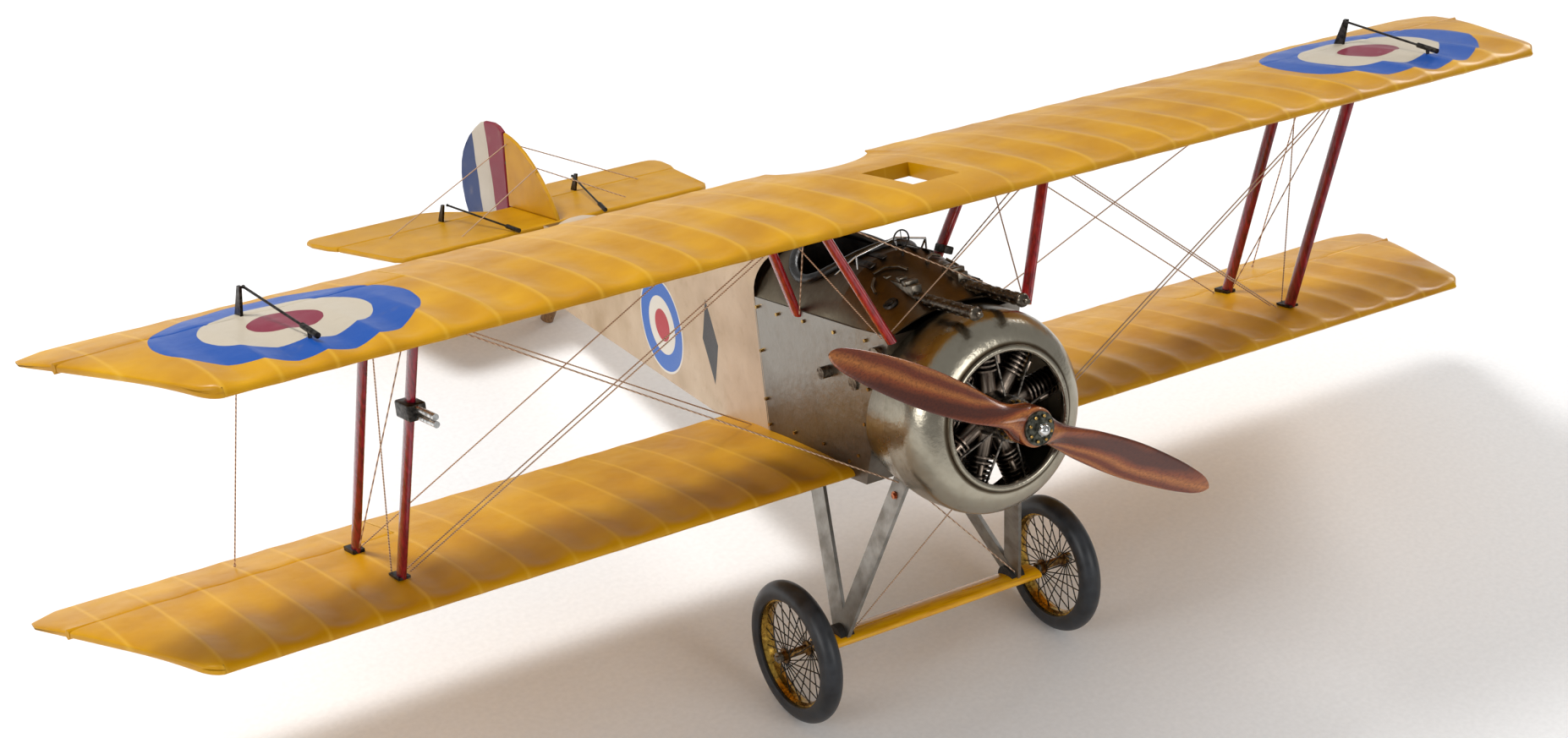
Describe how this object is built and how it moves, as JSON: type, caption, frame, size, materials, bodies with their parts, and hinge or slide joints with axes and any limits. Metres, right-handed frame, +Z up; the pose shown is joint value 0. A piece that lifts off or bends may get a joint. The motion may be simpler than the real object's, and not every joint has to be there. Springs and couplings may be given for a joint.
{
  "type": "biplane scale model",
  "caption": "Display model of an early single-seat biplane with a rotary engine, wire wheels, hinged control surfaces and a turning propeller; it stands on its wheels and tail skid.",
  "frame": {"origin": "middle of the footprint, on the surface that the wheels and the tail skid stand on", "axes": "+X to the model's left wing tip, -Y to the nose, +Z up; the model stands tail down"},
  "size_m": [1.219, 0.8758, 0.4023],
  "materials": {
    "wing_cloth": "satin",
    "tail_cloth": "satin",
    "rudder_cloth": "satin",
    "linen": "satin",
    "nose_metal": "satin",
    "cowl_metal": "satin",
    "strut_paint": "gloss",
    "thread": "matte",
    "black_metal": "satin",
    "brass": "satin",
    "hub_bronze": "satin",
    "engine_metal": "satin",
    "gun_metal": "satin",
    "bright_steel": "polished",
    "leg_steel": "satin",
    "prop_wood": "gloss",
    "skid_wood": "satin",
    "yellow_wood": "satin",
    "coaming_leather": "satin",
    "tyre_rubber": "matte"
  },
  "bodies": {
    "airframe": {"upper_wing": "wing_cloth", "forward_deck": "nose_metal", "side_panel_left": "nose_metal", "side_panel_right": "nose_metal", "lower_wing_left": "wing_cloth", "lower_wing_right": "wing_cloth", "cockpit_coaming": "coaming_leather", "windscreen_rail": "bright_steel", "cowling": "cowl_metal", "cylinders": "engine_metal", "crankcase_and_pushrods": "engine_metal", "engine_plate": "engine_metal", "prop_shaft": "bright_steel", "machine_guns": "gun_metal", "ring_sight": "black_metal", "access_covers": "engine_metal", "panel_screws": "brass", "fin": "tail_cloth", "tailplane": "tail_cloth", "fuselage": "linen", "surface_hinges": "brass", "interplane_struts": "strut_paint", "cabane_struts": "strut_paint", "wing_fittings": "brass", "airspeed_tube": "bright_steel", "spreader_bar": "yellow_wood", "undercarriage_legs": "leg_steel", "axle": "leg_steel", "shock_cords": "black_metal", "tail_skid": "skid_wood", "wing_wires": "thread", "cabane_wires": "thread", "undercarriage_wires": "thread", "tail_brace_wires": "thread"},
    "propeller_body": {"propeller": "prop_wood", "hub_plate": "black_metal"},
    "wheel_left": {"hub_left": "hub_bronze", "rim_left": "brass", "tyre_left": "tyre_rubber", "spokes_left": "engine_metal"},
    "wheel_right": {"hub_right": "hub_bronze", "rim_right": "brass", "tyre_right": "tyre_rubber", "spokes_right": "engine_metal"},
    "rudder": {"rudder": "rudder_cloth"},
    "elevators": {"elevator_left": "tail_cloth", "elevator_right": "tail_cloth", "elevator_horns": "black_metal"},
    "elevator_rod_left": {"elevator_rod_left": "black_metal"},
    "elevator_rod_right": {"elevator_rod_right": "black_metal"},
    "aileron_upper_left": {"aileron_upper_left": "wing_cloth", "aileron_horn_left": "black_metal"},
    "aileron_upper_right": {"aileron_upper_right": "wing_cloth", "aileron_horn_right": "black_metal"},
    "aileron_lower_left": {"aileron_lower_left": "wing_cloth"},
    "aileron_lower_right": {"aileron_lower_right": "wing_cloth"},
    "aileron_rod_left": {"aileron_rod_left": "black_metal"},
    "aileron_rod_right": {"aileron_rod_right": "black_metal"},
    "aileron_link_left": {"aileron_link_left": "thread"},
    "aileron_link_right": {"aileron_link_right": "thread"}
  },
  "joints": [
    {"name": "propeller_spin", "type": "hinge", "parent": "airframe", "child": "propeller_body", "pos_m": [0, -0.41124, 0.26295], "axis": [0, 0.9567, -0.2909], "continuous": true},
    {"name": "wheel_left_spin", "type": "hinge", "parent": "airframe", "child": "wheel_left", "pos_m": [0.1168, -0.32014, 0.0538], "axis": [1, 0, 0], "continuous": true},
    {"name": "wheel_right_spin", "type": "hinge", "parent": "airframe", "child": "wheel_right", "pos_m": [-0.1168, -0.32014, 0.0538], "axis": [1, 0, 0], "continuous": true},
    {"name": "rudder_hinge", "type": "hinge", "parent": "airframe", "child": "rudder", "pos_m": [0, 0.33526, 0.02278], "axis": [0, 0.1637, 0.9865], "range_deg": [-20, 20]},
    {"name": "elevator_hinge", "type": "hinge", "parent": "airframe", "child": "elevators", "pos_m": [0, 0.34276, 0.08071], "axis": [1, 0, 0], "range_deg": [-20, 20]},
    {"name": "aileron_upper_left_hinge", "type": "hinge", "parent": "airframe", "child": "aileron_upper_left", "pos_m": [0.47, -0.19077, 0.35896], "axis": [1, 0, 0], "range_deg": [-20, 20]},
    {"name": "aileron_upper_right_hinge", "type": "hinge", "parent": "airframe", "child": "aileron_upper_right", "pos_m": [-0.47, -0.19077, 0.35896], "axis": [1, 0, 0], "range_deg": [-20, 20]},
    {"name": "aileron_lower_left_hinge", "type": "hinge", "parent": "airframe", "child": "aileron_lower_left", "pos_m": [0.47, -0.16169, 0.13836], "axis": [1, 0, 0], "range_deg": [-20, 20]},
    {"name": "aileron_lower_right_hinge", "type": "hinge", "parent": "airframe", "child": "aileron_lower_right", "pos_m": [-0.47, -0.16169, 0.13836], "axis": [1, 0, 0], "range_deg": [-20, 20]},
    {"name": "aileron_rod_left_slide", "type": "slide", "parent": "airframe", "child": "aileron_rod_left", "axis": [0.04, 0.9865, -0.1586], "range_m": [-0.0088, 0.0088]},
    {"name": "aileron_link_left_slide", "type": "slide", "parent": "airframe", "child": "aileron_link_left", "axis": [0, 0.2909, 0.9567], "range_m": [-0.0098, 0.0098]},
    {"name": "aileron_rod_right_slide", "type": "slide", "parent": "airframe", "child": "aileron_rod_right", "axis": [-0.04, 0.9865, -0.1586], "range_m": [-0.0088, 0.0088]},
    {"name": "aileron_link_right_slide", "type": "slide", "parent": "airframe", "child": "aileron_link_right", "axis": [0, 0.2909, 0.9567], "range_m": [-0.0098, 0.0098]},
    {"name": "elevator_rod_left_slide", "type": "slide", "parent": "airframe", "child": "elevator_rod_left", "axis": [0.2052, 0.9671, -0.1503], "range_m": [-0.0067, 0.0067]},
    {"name": "elevator_rod_right_slide", "type": "slide", "parent": "airframe", "child": "elevator_rod_right", "axis": [-0.2052, 0.9671, -0.1503], "range_m": [-0.0067, 0.0067]}
  ],
  "couplings": [
    {"joint": "aileron_upper_right_hinge", "follows": "aileron_upper_left_hinge", "ratio": -1},
    {"joint": "aileron_lower_left_hinge", "follows": "aileron_upper_left_hinge", "ratio": 1},
    {"joint": "aileron_lower_right_hinge", "follows": "aileron_upper_left_hinge", "ratio": -1},
    {"joint": "aileron_rod_left_slide", "follows": "aileron_upper_left_hinge", "m_per_rad": -0.024185},
    {"joint": "aileron_link_left_slide", "follows": "aileron_upper_left_hinge", "m_per_rad": 0.027},
    {"joint": "aileron_rod_right_slide", "follows": "aileron_upper_left_hinge", "m_per_rad": 0.024185},
    {"joint": "aileron_link_right_slide", "follows": "aileron_upper_left_hinge", "m_per_rad": -0.027},
    {"joint": "elevator_rod_left_slide", "follows": "elevator_hinge", "m_per_rad": -0.018032},
    {"joint": "elevator_rod_right_slide", "follows": "elevator_hinge", "m_per_rad": -0.018032}
  ]
}
